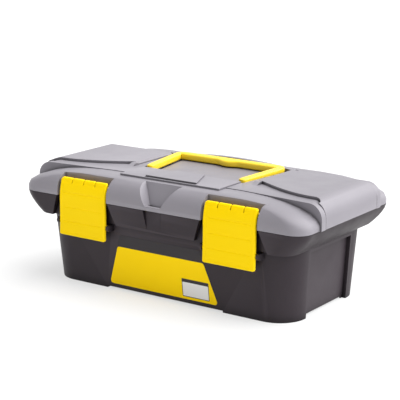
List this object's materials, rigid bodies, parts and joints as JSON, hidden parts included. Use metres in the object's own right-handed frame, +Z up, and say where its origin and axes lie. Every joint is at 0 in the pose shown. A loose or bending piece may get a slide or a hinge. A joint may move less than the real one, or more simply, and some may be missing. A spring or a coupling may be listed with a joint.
{
  "type": "plastic tool box",
  "caption": "Plastic tool box with a hinged lid, front latches, a fold-down carry handle, covered bins in the lid and a lift-out tray.",
  "frame": {"origin": "middle of the footprint, on the surface the box stands on", "axes": "+X along the length to the right, -Y to the front with the latches, +Z up"},
  "size_m": [0.332, 0.1735, 0.1185],
  "materials": {
    "body": "fine grain",
    "tray": "fine grain",
    "lid": "satin",
    "yellow": "gloss",
    "steel": "drawn wire",
    "label": "printed film"
  },
  "bodies": {
    "body": {"body_tub": "body", "front_label": "label", "hinge_pin_left": "steel", "hinge_pin_right": "steel"},
    "lid": {"lid_shell": "lid"},
    "handle": {"carry_handle": "yellow"},
    "latch_left": {"latch_left": "yellow"},
    "latch_right": {"latch_right": "yellow"},
    "cover_left": {"organizer_cover_left": "lid"},
    "cover_right": {"organizer_cover_right": "lid"},
    "tray": {"tote_tray": "tray"}
  },
  "joints": [
    {"name": "lid_hinge", "type": "hinge", "parent": "body", "child": "lid", "pos_m": [0, 0.08225, 0.0902], "axis": [-1, 0, 0], "range_deg": [0, 105]},
    {"name": "handle_hinge", "type": "hinge", "parent": "lid", "child": "handle", "pos_m": [0, -0.01475, 0.1111], "axis": [1, 0, 0], "range_deg": [0, 90]},
    {"name": "latch_left_hinge", "type": "hinge", "parent": "body", "child": "latch_left", "pos_m": [-0.086, -0.08255, 0.065], "axis": [1, 0, 0], "range_deg": [0, 35]},
    {"name": "latch_right_hinge", "type": "hinge", "parent": "body", "child": "latch_right", "pos_m": [0.086, -0.08255, 0.065], "axis": [1, 0, 0], "range_deg": [0, 35]},
    {"name": "cover_left_hinge", "type": "hinge", "parent": "lid", "child": "cover_left", "pos_m": [-0.0735, 0.01425, 0.1143], "axis": [0, 1, 0], "range_deg": [0, 90]},
    {"name": "cover_right_hinge", "type": "hinge", "parent": "lid", "child": "cover_right", "pos_m": [0.0735, 0.01425, 0.1143], "axis": [0, -1, 0], "range_deg": [0, 90]},
    {"name": "tray_lift", "type": "slide", "parent": "body", "child": "tray", "axis": [0, 0, 1], "range_m": [0, 0.011]}
  ]
}
